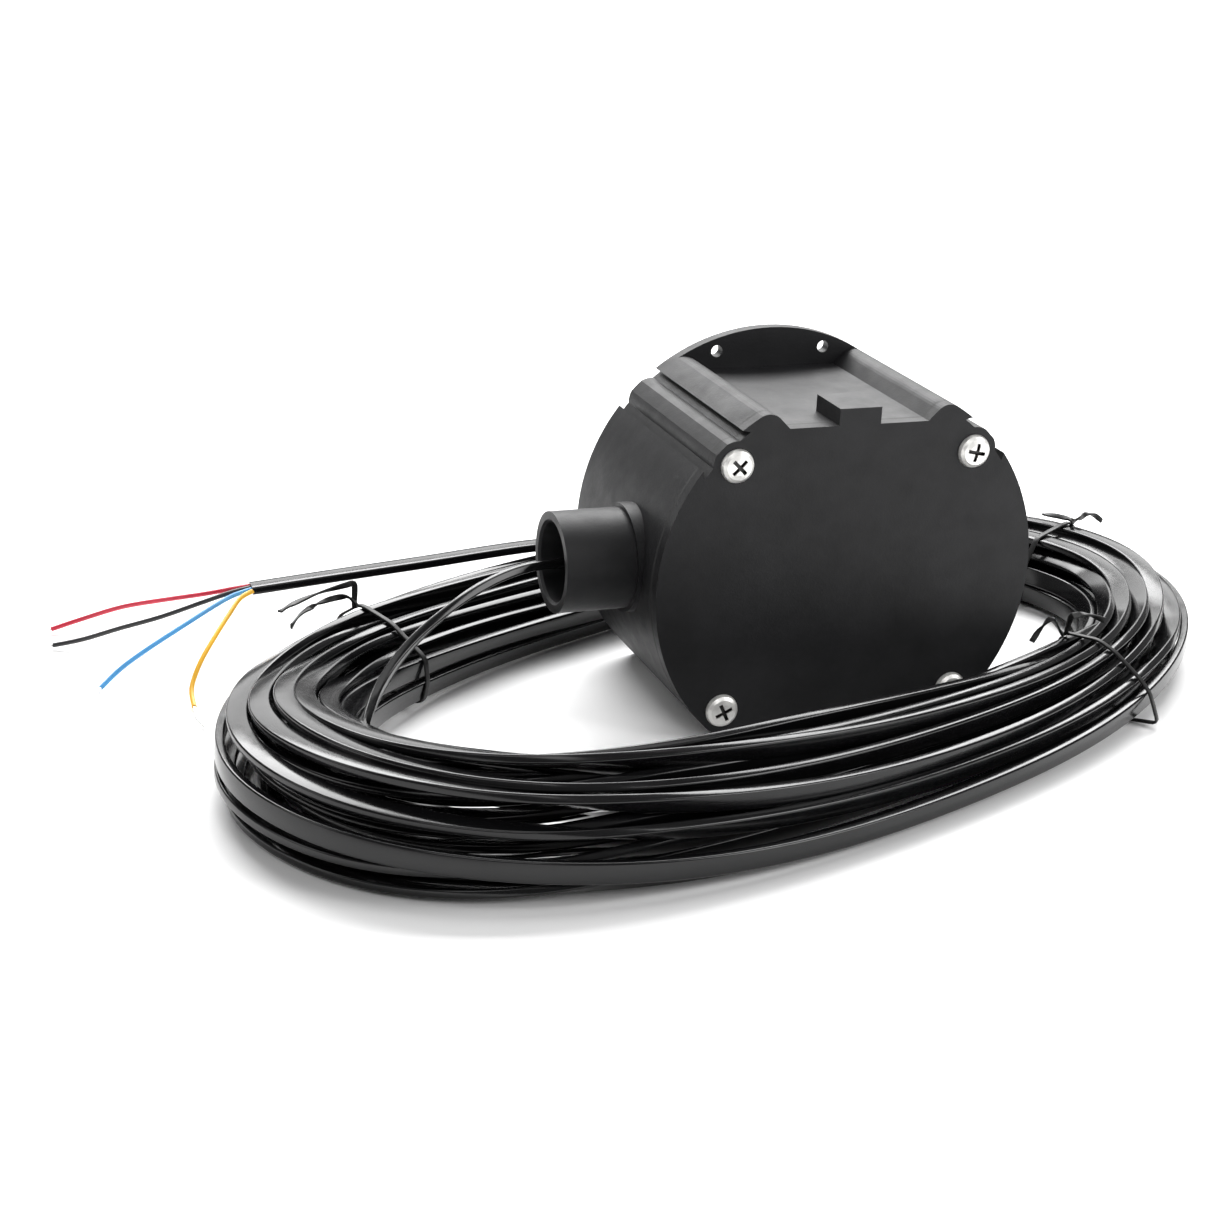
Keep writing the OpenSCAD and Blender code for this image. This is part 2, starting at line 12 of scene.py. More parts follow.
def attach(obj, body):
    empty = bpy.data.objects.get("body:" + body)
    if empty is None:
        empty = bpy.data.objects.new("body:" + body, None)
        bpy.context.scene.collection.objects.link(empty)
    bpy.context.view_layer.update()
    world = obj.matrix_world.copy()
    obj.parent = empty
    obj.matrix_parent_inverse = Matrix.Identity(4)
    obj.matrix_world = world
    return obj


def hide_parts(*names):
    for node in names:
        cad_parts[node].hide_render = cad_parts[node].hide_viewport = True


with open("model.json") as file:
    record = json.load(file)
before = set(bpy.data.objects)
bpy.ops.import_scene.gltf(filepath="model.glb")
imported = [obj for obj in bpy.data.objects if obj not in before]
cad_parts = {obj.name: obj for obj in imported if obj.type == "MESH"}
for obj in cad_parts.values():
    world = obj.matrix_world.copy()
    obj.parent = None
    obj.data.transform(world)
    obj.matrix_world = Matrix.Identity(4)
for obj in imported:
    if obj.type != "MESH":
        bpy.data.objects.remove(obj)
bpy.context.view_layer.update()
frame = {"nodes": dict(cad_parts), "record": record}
nodes = frame["nodes"]

MM = 0.001


def metres(points):
    """Points in millimetres as an array in metres."""
    return np.array(points, float) * MM


def unit(v):
    """Directions of length 1, one for each row."""
    v = np.array(v, float)
    return v / np.linalg.norm(v, axis=-1, keepdims=True)


# ---- Camera, floor and light ----

CAMERA_AT = metres([-233.1, -492.2, 220.06])
CAMERA_YAW, CAMERA_PITCH, CAMERA_ROLL = 20.47, 20.44, 2.67
LENS_MM, SENSOR_MM = 69.18, 36
NEAREST, FARTHEST = 0.01, 50

FLOOR_SIZE, FLOOR_AT = 16, (0, 4, -0.0002)
WORLD_STRENGTH = 0.22

# Each soft light: its name, its place, the point that it faces, its width and height, and its watts
LIGHTS = [
    ("top_light", (0.1, 0.1, 1.7), (0, 0, 0), (1.2, 0.8), 6),
    ("back_light", (0.4, 1.35, 1.5), (0, 0, 0), (2.4, 1.1), 100),
    ("low_back_light", (0.5, 1.95, 0.75), (0, 0, 0), (2.6, 0.6), 13),
    ("left_light", (-1.5, 0.1, 0.8), (-0.1, 0, 0), (0.8, 1.0), 4),
    ("front_light", (-0.4, -1.5, 1.3), (0, 0, 0.03), (1.2, 0.6), 7),
    ("right_front_light", (1.35, -1.05, 0.85), (0, 0, 0.03), (0.8, 1.2), 20),
]


def camera_axes():
    """The camera's right, up and ahead directions."""
    yaw, pitch, roll = (math.radians(a) for a in (CAMERA_YAW, CAMERA_PITCH, CAMERA_ROLL))
    flat = math.cos(pitch)
    ahead = Vector((math.sin(yaw) * flat, math.cos(yaw) * flat, -math.sin(pitch)))
    level = Vector((math.cos(yaw), -math.sin(yaw), 0))
    above = level.cross(ahead)
    right = math.cos(roll) * level + math.sin(roll) * above
    up = -math.sin(roll) * level + math.cos(roll) * above
    return right, up, ahead


def make_camera():
    right, up, ahead = camera_axes()
    data = bpy.data.cameras.new("camera")
    data.lens = LENS_MM
    data.sensor_width = SENSOR_MM
    data.clip_start = NEAREST
    data.clip_end = FARTHEST
    camera = bpy.data.objects.new("camera", data)
    turn = Matrix((right, up, -ahead)).transposed().to_4x4()
    camera.matrix_world = Matrix.Translation(CAMERA_AT) @ turn
    bpy.context.scene.collection.objects.link(camera)
    bpy.context.scene.camera = camera


def area_light(name, at, aim, size, watts):
    data = bpy.data.lights.new(name, "AREA")
    data.shape = "RECTANGLE"
    data.size, data.size_y = size
    data.energy = watts
    light = bpy.data.objects.new(name, data)
    light.location = at
    light.rotation_euler = (Vector(aim) - Vector(at)).to_track_quat("-Z", "Y").to_euler()
    bpy.context.scene.collection.objects.link(light)


def make_stage():
    """A white floor, an even dim surrounding and the soft lights."""
    bpy.ops.mesh.primitive_plane_add(size=FLOOR_SIZE, location=FLOOR_AT)
    floor = bpy.context.object
    floor.name = "floor"
    floor.data.materials.append(surface("floor_white", (0.93, 0.93, 0.93), 0.9, specular=0.0, tint=0.01))
    world = bpy.data.worlds.new("world")
    world.use_nodes = True
    background = world.node_tree.nodes["Background"]
    background.inputs["Color"].default_value = (1, 1, 1, 1)
    background.inputs["Strength"].default_value = WORLD_STRENGTH
    bpy.context.scene.world = world
    for light in LIGHTS:
        area_light(*light)
    bpy.context.scene.view_settings.view_transform = "Standard"


# ---- Materials ----

# The range of a noise pattern's value that is spread over a material's range
NOISE_LOW, NOISE_HIGH = 0.3, 0.7

# Sizes of the patterns in every material, in patches per metre
PATCH_SCALE, SMUDGE_SCALE, WAVE_SCALE = 60, 170, 90


def shader(name):
    material = bpy.data.materials.new(name)
    material.use_nodes = True
    tree = material.node_tree
    return material, tree, tree.nodes["Principled BSDF"]


def noise(tree, scale, detail, roughness=0.55):
    """A noise pattern fixed to the object, scale in patches per metre."""
    place = tree.nodes.new("ShaderNodeTexCoord")
    pattern = tree.nodes.new("ShaderNodeTexNoise")
    pattern.inputs["Scale"].default_value = scale
    pattern.inputs["Detail"].default_value = detail
    pattern.inputs["Roughness"].default_value = roughness
    tree.links.new(place.outputs["Object"], pattern.inputs["Vector"])
    return pattern.outputs["Fac"]


def spread(tree, value, low, high):
    """A noise pattern's value carried over to the range from low to high."""
    ranged = tree.nodes.new("ShaderNodeMapRange")
    ranged.inputs["From Min"].default_value = NOISE_LOW
    ranged.inputs["From Max"].default_value = NOISE_HIGH
    ranged.inputs["To Min"].default_value = low
    ranged.inputs["To Max"].default_value = high
    tree.links.new(value, ranged.inputs["Value"])
    return ranged.outputs["Result"]


def two_tone(tree, value, dark, light):
    """A colour that goes from dark to light with a pattern's value."""
    mix = tree.nodes.new("ShaderNodeMix")
    mix.data_type = "RGBA"
    mix.inputs["A"].default_value = (*dark, 1)
    mix.inputs["B"].default_value = (*light, 1)
    tree.links.new(value, mix.inputs["Factor"])
    return mix.outputs["Result"]


def bumps(tree, bsdf, layers):
    """Height patterns, each (value, height in metres), stacked into the shader's normal."""
    normal = None
    for value, height in layers:
        bump = tree.nodes.new("ShaderNodeBump")
        bump.inputs["Strength"].default_value = 1.0
        bump.inputs["Distance"].default_value = height
        tree.links.new(value, bump.inputs["Height"])
        if normal is not None:
            tree.links.new(normal, bump.inputs["Normal"])
        normal = bump.outputs["Normal"]
    tree.links.new(normal, bsdf.inputs["Normal"])


def surface(name, colour, rough, metal=0.0, specular=0.5, tint=0.15, rough_spread=0.06,
            grain=0.0, grain_scale=2500, wave=0.0):
    """A material with uneven colour and gloss, and fine grain and slow waves of given heights in metres."""
    material, tree, bsdf = shader(name)
    bsdf.inputs["Metallic"].default_value = metal
    bsdf.inputs["Specular IOR Level"].default_value = specular
    patches = noise(tree, PATCH_SCALE, 4)
    dark = tuple(c * (1 - tint) for c in colour)
    light = tuple(min(1.0, c * (1 + tint)) for c in colour)
    tree.links.new(two_tone(tree, spread(tree, patches, 0, 1), dark, light), bsdf.inputs["Base Color"])
    smudges = noise(tree, SMUDGE_SCALE, 5, 0.6)
    gloss = spread(tree, smudges, rough - rough_spread, rough + rough_spread)
    tree.links.new(gloss, bsdf.inputs["Roughness"])
    layers = []
    if wave:
        layers.append((noise(tree, WAVE_SCALE, 2), wave))
    if grain:
        layers.append((noise(tree, grain_scale, 2, 0.7), grain))
    if layers:
        bumps(tree, bsdf, layers)
    return material


PALETTE = {
    "housing_plastic": dict(colour=(0.011, 0.011, 0.012), rough=0.5, specular=0.25, tint=0.25,
                            grain=0.00003, grain_scale=1800, wave=0.00012),
    "rubber": dict(colour=(0.008, 0.008, 0.008), rough=0.7, grain=0.00002),
    "nickel_screws": dict(colour=(0.86, 0.85, 0.82), rough=0.3, metal=1.0, grain=0.00001, tint=0.05),
    "steel": dict(colour=(0.6, 0.61, 0.62), rough=0.28, metal=1.0, grain=0.00001, tint=0.06),
    "brass": dict(colour=(0.78, 0.58, 0.27), rough=0.3, metal=1.0, grain=0.00001, tint=0.08),
    "board": dict(colour=(0.02, 0.13, 0.05), rough=0.3, grain=0.00002, grain_scale=900, tint=0.2),
    "components": dict(colour=(0.012, 0.012, 0.013), rough=0.5, grain=0.00002),
    "terminal": dict(colour=(0.03, 0.22, 0.08), rough=0.4, grain=0.00002),
    "carrier": dict(colour=(0.014, 0.014, 0.015), rough=0.4, grain=0.00002),
    "cable_jacket": dict(colour=(0.004, 0.004, 0.0044), rough=0.17, rough_spread=0.04, specular=0.36,
                         tint=0.3, grain=0.000004, wave=0.00002),
    "core_red": dict(colour=(0.55, 0.02, 0.05), rough=0.35, grain=0.000008),
    "core_black": dict(colour=(0.012, 0.012, 0.013), rough=0.35, grain=0.000008),
    "core_blue": dict(colour=(0.07, 0.3, 0.62), rough=0.35, grain=0.000008),
    "core_yellow": dict(colour=(0.8, 0.42, 0.02), rough=0.35, grain=0.000008),
    "tinned_copper": dict(colour=(0.85, 0.84, 0.82), rough=0.35, metal=1.0, grain=0.00001, tint=0.05),
    "tie": dict(colour=(0.005, 0.005, 0.005), rough=0.45, specular=0.3, grain=0.00001),
}
MATERIALS = {name: surface(name, **look) for name, look in PALETTE.items()}

# The height of the drum's axis, the cover screws' distance from it in X and in Z, the Y behind which their
# recesses lie, and the radius within which they lie
DRUM_Z, SCREW_XZ, RECESS_Y, RECESS_R = 37 * MM, 30 * MM, -29.55 * MM, 2.3 * MM
# The near-black colour painted into the cover screws' cross recesses as shade
PAINTED_RECESS_SHADE = (0.012, 0.009, 0.008, 1)


def darken_recesses(material):
    """Paints shade into the cross recesses of the cover screws: a near-black, non-metal colour inside each
    recess.
    """
    tree = material.node_tree
    bsdf = tree.nodes["Principled BSDF"]
    place = tree.nodes.new("ShaderNodeTexCoord")
    split = tree.nodes.new("ShaderNodeSeparateXYZ")
    tree.links.new(place.outputs["Object"], split.inputs["Vector"])

    def calc(operation, a, b=0.0):
        node = tree.nodes.new("ShaderNodeMath")
        node.operation = operation
        for socket, value in zip(node.inputs, (a, b)):
            if isinstance(value, float):
                socket.default_value = value
            else:
                tree.links.new(value, socket)
        return node.outputs["Value"]

    dx = calc("SUBTRACT", calc("ABSOLUTE", split.outputs["X"]), SCREW_XZ)
    dz = calc("SUBTRACT", calc("ABSOLUTE", calc("SUBTRACT", split.outputs["Z"], DRUM_Z)), SCREW_XZ)
    away = calc("SQRT", calc("ADD", calc("MULTIPLY", dx, dx), calc("MULTIPLY", dz, dz)))
    behind = calc("GREATER_THAN", split.outputs["Y"], RECESS_Y)
    recess_shade_mask = calc("MULTIPLY", calc("LESS_THAN", away, RECESS_R), behind)
    # Painted shade: inside a recess the screw gets a near-black, non-metal colour in place of its own
    for name, dark in (("Base Color", PAINTED_RECESS_SHADE), ("Metallic", 0.0)):
        socket = bsdf.inputs[name]
        mix = tree.nodes.new("ShaderNodeMix")
        mix.data_type = "RGBA" if name == "Base Color" else "FLOAT"
        a, b = (s for s in mix.inputs if s.enabled and s.name in "AB")
        if socket.is_linked:
            tree.links.new(socket.links[0].from_socket, a)
        else:
            a.default_value = socket.default_value
        b.default_value = dark
        tree.links.new(recess_shade_mask, mix.inputs["Factor"])
        tree.links.new(next(o for o in mix.outputs if o.enabled), socket)
    return material


# The cover screws' material, with painted shade in its cross recesses
MATERIALS["cover_screw"] = darken_recesses(
    surface("cover_screw", (0.9, 0.89, 0.86), 0.42, metal=0.85, tint=0.04, grain=0.00001))


def dress(obj, slot):
    obj.data.materials.clear()
    obj.data.materials.append(MATERIALS[slot])


def finish_cad_nodes():
    """Gives every CAD node the material of its slot, and the cover screws their own with painted shade in their
    recesses.
    """
    for sub in frame["record"]["subparts"]:
        dress(nodes[sub["node"]], sub["material_slot"])
    screws = nodes["cover_screws"]
    screws.data.materials.clear()
    screws.data.materials.append(MATERIALS["cover_screw"])


# ---- Cable: its routes, repeated from the part's source, and its coil ----

CABLE_W, CABLE_T = 4.8 * MM, 2.1 * MM
CABLE_CORNER, TIE_CORNER = 0.5 * MM, 0.25 * MM
LEAD_D, TIP_D = 1.2 * MM, 0.7 * MM
CORNER_STEPS = 3
SHARP_ANGLE = math.radians(35)

# Points drawn for each step of a route and of the whole cable, and rounds that smooth its roll and its path
ROUTE_STEPS, COIL_STEPS = 4, 2
WIDE_ROUNDS, PATH_ROUNDS = 8, 3

LEAD_ROUTE = metres([
    (-66, -6, 38.5), (-72, -6.5, 38.3), (-80, -9, 37.2), (-88, -13, 35.3), (-95.5, -17, 32.4),
    (-102.5, -20.5, 28.6), (-109, -25, 24.2), (-114.5, -31, 19.8), (-119, -39, 16.5)])
LEAD_ROLLS = (20, 22, 26, 33, 42, 52, 64, 76, 88)
TAIL_ROUTE = metres([
    (-22, 57, 17.5), (-30, 56.5, 19.8), (-39, 55.6, 21.1), (-50, 54.6, 21.5), (-63, 52.8, 21.3),
    (-77, 50.6, 20.9), (-90, 49.2, 20.4), (-102, 48.4, 19.8), (-114, 48, 19), (-126, 48, 18)])
CORE_ROUTES = {
    "red": metres([
        (-126, 49.95, 18), (-131, 50.2, 17.4), (-137, 52, 16), (-146, 58, 13), (-155, 67, 8.6),
        (-164, 73, 4), (-172, 75, 1)]),
    "black": metres([
        (-126, 48.65, 18), (-131, 48.4, 17.2), (-137, 48.2, 15.6), (-148, 51.5, 11), (-157, 56.5, 7),
        (-166, 61.5, 2.8), (-173, 64, 0.9)]),
    "blue": metres([
        (-126, 47.35, 18), (-131, 46.4, 17), (-136, 44, 15.6), (-144, 40.5, 12.6), (-153, 38, 8.4),
        (-160, 36.5, 4.4), (-165.5, 33.5, 0.9)]),
    "yellow": metres([
        (-126, 46.05, 18), (-129.5, 44.2, 17), (-133, 40, 14.8), (-138, 33.5, 11.4), (-142.5, 28, 7.4),
        (-145.5, 23, 3.2), (-146, 17, 0.9)]),
}
TIP_ENDS = {
    "red": metres([(-178, 74, 0.7), (-183, 73, 0.6)]),
    "black": metres([(-179, 62.5, 0.7), (-184, 60.5, 0.6)]),
    "blue": metres([(-168.5, 25, 0.7), (-171, 15.5, 0.6)]),
    "yellow": metres([(-146.5, 10.5, 0.7), (-145.5, 5, 0.6)]),
}

# The coil, in millimetres. Its middle line in plan is an oval: centre, half length, half width, turn in
# degrees, power. Its width and height are a mean and the change with the angle's cosine, its sine and twice
# the angle's cosine. Its base stands a little above the floor. The higher its power, the squarer its section.
COIL_OVAL = (-15.5, -10.5, 125, 62.5, 22.5, 2.2)
COIL_WIDTH = (29, -3, -1, 5)
COIL_HEIGHT = (22.6, -3.5, -3, 0)
COIL_BASE = 0.7
COIL_POWER = 12

# Points in each turn, and the cable's width and thickness in millimetres
STATIONS = 90
STRIP_W, STRIP_T = CABLE_W / MM, CABLE_T / MM

# The step in radians that gives the coil's direction, the step in degrees of the search for a point's place,
# and the share of the half width past which a section is not that place
DIRECTION_STEP, SEARCH_STEP, FAR_OUT = 0.02, 0.25, 1.5


def oval(angle):
    """Points on the coil's middle line, in millimetres."""
    x0, y0, a, b, turn, power = COIL_OVAL
    c, s, t = np.cos(angle), np.sin(angle), math.radians(turn)
    x = a * np.sign(c) * np.abs(c) ** (2 / power)
    y = b * np.sign(s) * np.abs(s) ** (2 / power)
    return np.stack([x0 + x * math.cos(t) - y * math.sin(t), y0 + x * math.sin(t) + y * math.cos(t)], -1)


def swing(v, angle):
    """A size that changes round the coil."""
    return v[0] + v[1] * np.cos(angle) + v[2] * np.sin(angle) + v[3] * np.cos(2 * angle)


def coil_frame(angle):
    """The coil's section at some angles: middle in plan, outward direction, half width and half height."""
    step = oval(angle + DIRECTION_STEP) - oval(angle - DIRECTION_STEP)
    across = unit(np.stack([step[..., 1], -step[..., 0]], -1))
    return oval(angle), across, swing(COIL_WIDTH, angle) / 2, swing(COIL_HEIGHT, angle) / 2


# How the turns are piled up at the coil's left end, front, right end and rear, as listed. The first
# turns fill the pile in rows: turns, height share, width share of the first and of the last. Each place has
# one lean for its rows, in degrees that the top leans outward from upright. The other turns cover the pile
# from its inside to its outside: width share, height share, lean.
FILLED = [
    [(4, -1.00, -0.80, 0.95), (4, -0.55, -0.70, 0.85), (3, -0.10, -0.50, 0.60), (2, 0.40, -0.25, 0.30)],
    [(4, -1.00, -1.00, 0.62), (4, -0.49, -1.00, 0.22), (3, 0.02, -0.97, -0.12), (2, 0.45, -0.88, -0.40)],
    [(4, -1.00, -0.80, 0.95), (4, -0.55, -0.75, 0.85), (3, -0.10, -0.50, 0.60), (2, 0.40, -0.25, 0.30)],
    [(4, -1.00, -0.62, 1.00), (4, -0.40, -0.20, 1.00), (3, 0.15, 0.20, 0.97), (2, 0.50, 0.50, 0.85)],
]
FILL_LEAN = (90, 10, 90, -10)
COVER = [
    [(-1.00, 0.10, 20), (-0.80, 0.60, 45), (-0.50, 0.90, 76), (-0.18, 1.00, 82),
     (0.15, 1.00, 88), (0.48, 0.90, 92), (0.82, 0.58, 94), (1.00, -0.12, 0)],
    [(-1.00, 0.28, 12), (-0.74, 0.56, 14), (-0.44, 0.70, 15), (-0.14, 0.48, 15),
     (0.14, 0.18, 15), (0.43, -0.20, 14), (0.72, -0.57, 13), (1.00, -1.00, 6)],
    [(-1.00, -0.90, 5), (-1.00, -0.25, 15), (-0.80, 0.50, 60), (-0.42, 0.92, 80),
     (0.00, 1.00, 88), (0.40, 1.00, 92), (0.78, 0.85, 98), (1.00, 0.15, 0)],
    [(-1.00, -1.00, -20), (-0.72, -0.55, -20), (-0.43, -0.14, -18), (-0.14, 0.25, -18),
     (0.14, 0.58, -16), (0.43, 0.85, -14), (0.72, 1.00, -10), (1.00, 1.00, -8)],
]

# A turn changes place on its way along the back: where in its lap, and over what share of the lap
CHANGE_FROM, CHANGE_OVER = 0.45, 0.42

# Shares of a lap over which the coil's two ends come to the lead's end and to the tail's start
START_OVER, END_OVER = 0.3, 0.25

# The farthest planned place as a share of the room, and how near to an end's place a point is held fixed
PLAN_LIMIT, FIXED_FROM = 1.02, 0.985

# How much the turns wander: width share, height share, and doubled lean in radians
WANDER_ACROSS, WANDER_UP, WANDER_LEAN = 0.03, 0.04, 0.1
WANDER_CYCLES = (0.43, 0.79, 1.27, 1.83, 2.6)

# How the turns are pushed apart: rounds, the gaps in millimetres along a strip's width and its thickness, how
# much more it is pushed along its width, and the shares of each push, of the way back to the planned place
# and of the straightening
PUSH_ROUNDS = 140
WIDE_GAP, THIN_GAP = 0.2, 0.5
WIDE_PUSH = 1.6
PUSH_SHARE, PLAN_SHARE, STRAIGHT_SHARE = 0.3, 0.03, 0.25


def turn_places(filled, fill_lean, cover):
    """Each turn's place in a pile, as shares of the half width and half height, and its lean as a doubled
    angle. The last turn keeps its place."""
    places = []
    for k, (count, v, first, last) in enumerate(filled):
        row = [(u, v, fill_lean) for u in np.linspace(first, last, count)]
        places += row[::-1] if k % 2 else row
    return [(u, v, math.cos(math.radians(2 * lean)), math.sin(math.radians(2 * lean)))
            for u, v, lean in places + cover + cover[-1:]]


def place_in_coil(point):
    """The angle at which a point lies in the coil, and its place in the section there."""
    angles = np.radians(np.arange(0, 360, SEARCH_STEP))
    middle, across, half_w, half_h = coil_frame(angles)
    off = point[:2] / MM - middle
    out = (off * across).sum(1)
    aside = np.abs(off[:, 0] * -across[:, 1] + off[:, 1] * across[:, 0])
    aside[np.abs(out) > FAR_OUT * half_w] = np.inf
    i = int(np.argmin(aside))
    return angles[i], np.array([out[i] / half_w[i], (point[2] / MM - COIL_BASE) / half_h[i] - 1])


def smooth_step(t):
    """From 0 to 1, level at both ends."""
    t = np.clip(t, 0, 1)
    return t * t * (3 - 2 * t)


def wander(laps, seed, size):
    """A slow drift along the cable, the same each time the script runs."""
    draw = np.random.default_rng(seed)
    total = np.zeros_like(laps)
    for cycles in WANDER_CYCLES:
        total += np.sin(2 * math.pi * (cycles * laps + draw.uniform())) * draw.normal(0, size)
    return total


def planned_turns(laps, angles, places):
    """Where each point of the turns should lie, and its lean as a doubled angle, between the four piles."""
    lap = np.minimum(laps.astype(int), places.shape[1] - 2)
    change = smooth_step((laps - lap - CHANGE_FROM) / CHANGE_OVER)[:, None]
    c, s = np.cos(angles), np.sin(angles)
    near = np.stack([c < 0, s < 0, c > 0, s > 0], -1)
    weights = near * np.stack([c, s] * 2, -1) ** 2
    plan = sum(weights[:, k, None] * (places[k, lap] * (1 - change) + places[k, lap + 1] * change)
               for k in range(len(places)))
    return plan[:, :2], plan[:, 2:]


def push_apart(want, lean, room, fixed):
    """Moves turns that lie in each other apart, round by round, within the pile. Some still cross at the end."""
    spot = want.copy()
    for _ in range(PUSH_ROUNDS):
        push = np.zeros_like(spot)
        for other in range(STATIONS, len(spot), STATIONS):
            gap = spot[other:] - spot[:-other]
            mean = lean[:-other] + lean[other:]
            slant = np.arctan2(mean[:, 1], mean[:, 0]) / 2
            wide = np.stack([np.sin(slant), np.cos(slant)], -1)
            thin = np.stack([np.cos(slant), -np.sin(slant)], -1)
            w = (gap * wide).sum(1) / (STRIP_W + WIDE_GAP)
            t = (gap * thin).sum(1) / (STRIP_T + THIN_GAP)
            size = np.sqrt(w * w + t * t) + 1e-9
            short = np.maximum(0, 1 - size)[:, None]
            move = short * (wide * (w / size * WIDE_PUSH)[:, None] + thin * (t / size)[:, None])
            push[other:] += move * PUSH_SHARE
            push[:-other] -= move * PUSH_SHARE
        spot = spot + push + (want - spot) * PLAN_SHARE
        bend = np.zeros_like(spot)
        bend[1:-1] = spot[2:] + spot[:-2] - 2 * spot[1:-1]
        spot += bend * STRAIGHT_SHARE
        out = (np.abs(spot / room) ** COIL_POWER).sum(1) ** (1 / COIL_POWER)
        spot /= np.maximum(1, out)[:, None]
        spot[fixed] = want[fixed]
    return spot


def lay_coil():
    """The coil's turns: their angles, where they lie in the section in millimetres, and how far each leans
    outward from upright."""
    start, start_place = place_in_coil(LEAD_ROUTE[-1])
    end, end_place = place_in_coil(TAIL_ROUTE[0])
    places = np.array([turn_places(*pile) for pile in zip(FILLED, FILL_LEAN, COVER)])
    turns = places.shape[1] - 1
    total = turns * 2 * math.pi - ((start - end) % (2 * math.pi))
    laps = np.arange(int(round(total / (2 * math.pi) * STATIONS))) / STATIONS
    angles = start + laps * 2 * math.pi
    at, lean = planned_turns(laps, angles, places)
    for tie in TIES.values():
        off = (angles - math.radians(tie["angle"]) + math.pi) % (2 * math.pi) - math.pi
        at[:, 1] -= tie["squeeze"] * np.exp(-(off / TIE_REACH) ** 2) * (at[:, 1] + 1) / 2
    at = at + np.stack([wander(laps, 3, WANDER_ACROSS), wander(laps, 5, WANDER_UP)], -1)
    near_start = smooth_step(1 - laps / START_OVER)[:, None]
    near_end = smooth_step(1 - (laps[-1] - laps) / END_OVER)[:, None]
    at = at * (1 - near_start) + start_place * near_start
    at = at * (1 - near_end) + end_place * near_end
    double = np.arctan2(lean[:, 1], lean[:, 0]) + wander(laps, 11, WANDER_LEAN)
    lean = np.stack([np.cos(double), np.sin(double)], -1)
    tilt = np.unwrap(double) / 2
    s, c = np.abs(np.sin(tilt)), np.abs(np.cos(tilt))
    reach = np.stack([s * STRIP_W + c * STRIP_T, c * STRIP_W + s * STRIP_T], -1) / 2
    room = np.stack(coil_frame(angles)[2:], -1) - reach
    want = np.clip(at, -PLAN_LIMIT, PLAN_LIMIT) * room
    fixed = (near_start + near_end)[:, 0] > FIXED_FROM
    return angles, push_apart(want, lean, room, fixed), tilt


def curve_through(points, per_gap):
    """Points along a smooth curve through the given ones."""
    out = []
    n = len(points)
    for i in range(n - 1):
        p0, p1, p2, p3 = points[max(i - 1, 0)], points[i], points[i + 1], points[min(i + 2, n - 1)]
        for s in range(per_gap):
            t = s / per_gap
            out.append(0.5 * (2 * p1 + (p2 - p0) * t + (2 * p0 - 5 * p1 + 4 * p2 - p3) * t * t
                              + (3 * p1 - p0 - 3 * p2 + p3) * t ** 3))
    out.append(points[-1])
    return np.array(out)


def flat_section(width, thick, corner):
    """A flat cable's section, across its wide side and through its thickness, with round corners."""
    points = []
    for sx, sy, first in ((1, 1, 0), (-1, 1, 90), (-1, -1, 180), (1, -1, 270)):
        for step in range(CORNER_STEPS + 1):
            a = math.radians(first + 90 / CORNER_STEPS * step)
            points.append((sx * (width / 2 - corner) + corner * math.cos(a),
                           sy * (thick / 2 - corner) + corner * math.sin(a)))
    return points


def round_section(diameter, sides):
    """A round wire's section."""
    turn = np.linspace(0, 2 * math.pi, sides + 1)[:-1]
    return [(diameter / 2 * math.cos(a), diameter / 2 * math.sin(a)) for a in turn]


def tube_mesh(name, path, section, wide):
    """A closed tube along a path. The section's first axis points along wide, its second across both."""
    ahead = unit(np.gradient(path, axis=0))
    wide = unit(wide - (wide * ahead).sum(1)[:, None] * ahead)
    thin = np.cross(ahead, wide)
    verts = []
    for centre, w, t in zip(path, wide, thin):
        verts.extend(centre + w * a + t * b for a, b in section)
    n, m = len(path), len(section)
    faces = [(i * m + j, (i + 1) * m + j, (i + 1) * m + (j + 1) % m, i * m + (j + 1) % m)
             for i in range(n - 1) for j in range(m)]
    faces.append(tuple(range(m)))
    faces.append(tuple((n - 1) * m + j for j in reversed(range(m))))
    return mesh_piece(name, verts, faces)


def mesh_piece(name, verts, faces):
    """An object with smooth faces, and sharp edges where they meet at more than SHARP_ANGLE."""
    mesh = bpy.data.meshes.new(name)
    mesh.from_pydata([tuple(v) for v in verts], [], faces)
    mesh.validate()
    built = bmesh.new()
    built.from_mesh(mesh)
    bmesh.ops.recalc_face_normals(built, faces=built.faces)
    built.to_mesh(mesh)
    built.free()
    piece = bpy.data.objects.new(name, mesh)
    bpy.context.scene.collection.objects.link(piece)
    for face in mesh.polygons:
        face.use_smooth = True
    mesh.set_sharp_from_angle(angle=SHARP_ANGLE)
    return piece


def rolled(path, rolls):
    """The wide direction at each point of a path, turned from level by a roll in degrees."""
    ahead = unit(np.gradient(path, axis=0))
    side = unit(np.cross((0, 0, 1), ahead))
    up = np.cross(ahead, side)
    share = np.linspace(0, 1, len(path))
    turn = np.radians(np.interp(share, np.linspace(0, 1, len(rolls)), rolls))[:, None]
    return side * np.cos(turn) + up * np.sin(turn)


def in_space(angles, spot):
    """Places in the coil's section as points in metres."""
    middle, across, _, half_h = coil_frame(angles)
    plan = middle + across * spot[:, :1]
    return metres(np.column_stack([plan, COIL_BASE + half_h + spot[:, 1]]))


